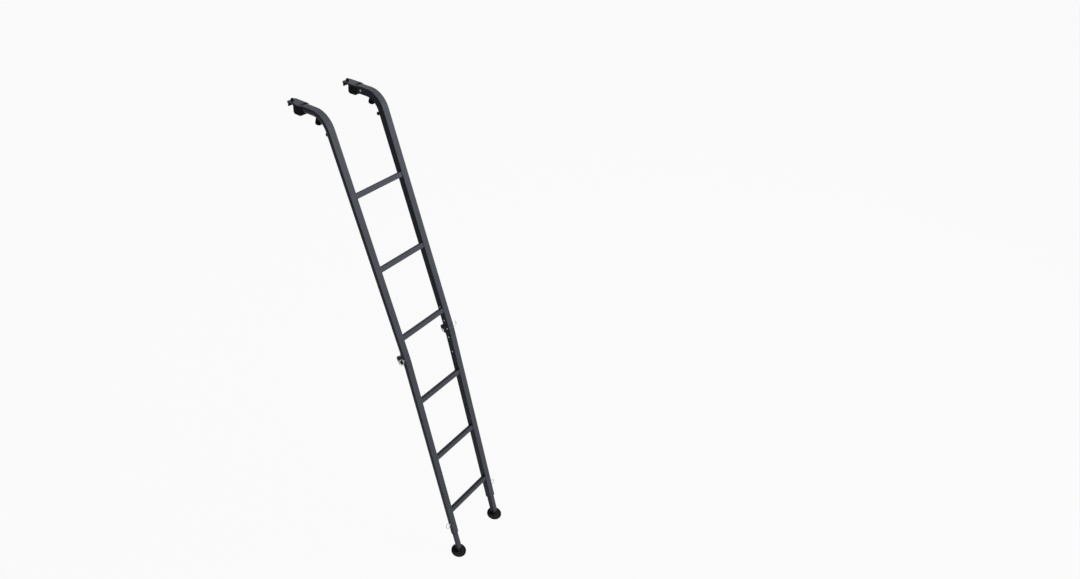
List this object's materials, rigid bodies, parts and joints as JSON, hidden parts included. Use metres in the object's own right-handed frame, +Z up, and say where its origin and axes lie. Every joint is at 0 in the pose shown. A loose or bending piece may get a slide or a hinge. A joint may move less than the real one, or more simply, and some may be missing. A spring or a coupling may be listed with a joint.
{
  "type": "folding access ladder",
  "caption": "Folding ladder with curved hooked tops, ribbed rungs, a hinge half way down each rail, and sliding legs on round swivel feet.",
  "frame": {"origin": "middle of the left hook's seat, on the underside of its plate", "axes": "+X along the rungs to the right as climbed, +Y back towards what the ladder hangs on, +Z up"},
  "size_m": [0.3704, 0.9699, 1.9575],
  "materials": {
    "powder_coat": "satin black powder coat",
    "steel": "zinc plated",
    "rubber": "moulded",
    "nylon": "matt"
  },
  "bodies": {
    "upper_section": {"left_upper_rail": "powder_coat", "left_hook": "powder_coat", "left_hook_pad": "rubber", "left_bend_buffer": "rubber", "left_fold_stop": "rubber", "left_upper_hinge_block": "powder_coat", "left_hinge_pin": "steel", "left_hinge_lock": "steel", "right_upper_rail": "powder_coat", "right_hook": "powder_coat", "right_hook_pad": "rubber", "right_bend_buffer": "rubber", "right_fold_stop": "rubber", "right_upper_hinge_block": "powder_coat", "right_hinge_pin": "steel", "right_hinge_lock": "steel", "rung_1": "powder_coat", "rung_2": "powder_coat", "rung_3": "powder_coat"},
    "lower_section": {"left_lower_hinge_block": "powder_coat", "left_lower_rail": "powder_coat", "left_leg_bush": "nylon", "left_leg_pin": "steel", "right_lower_hinge_block": "powder_coat", "right_lower_rail": "powder_coat", "right_leg_bush": "nylon", "right_leg_pin": "steel", "rung_4": "powder_coat", "rung_5": "powder_coat", "rung_6": "powder_coat"},
    "left_leg": {"left_leg": "powder_coat", "left_leg_end": "powder_coat"},
    "left_foot": {"left_foot": "rubber", "left_foot_pin": "steel"},
    "right_leg": {"right_leg": "powder_coat", "right_leg_end": "powder_coat"},
    "right_foot": {"right_foot": "rubber", "right_foot_pin": "steel"}
  },
  "joints": [
    {"name": "fold", "type": "hinge", "parent": "upper_section", "child": "lower_section", "pos_m": [0, -0.54609, -0.9527], "axis": [1, 0, 0], "range_deg": [0, 165]},
    {"name": "left_leg_slide", "type": "slide", "parent": "lower_section", "child": "left_leg", "axis": [0, -0.3305, -0.9438], "range_m": [-0.06, 0.09]},
    {"name": "left_foot_swivel", "type": "hinge", "parent": "left_leg", "child": "left_foot", "pos_m": [0, -0.91691, -1.93748], "axis": [1, 0, 0], "range_deg": [-25, 25]},
    {"name": "right_leg_slide", "type": "slide", "parent": "lower_section", "child": "right_leg", "axis": [0, -0.3305, -0.9438], "range_m": [-0.06, 0.09]},
    {"name": "right_foot_swivel", "type": "hinge", "parent": "right_leg", "child": "right_foot", "pos_m": [0.282, -0.91691, -1.93748], "axis": [1, 0, 0], "range_deg": [-25, 25]}
  ]
}
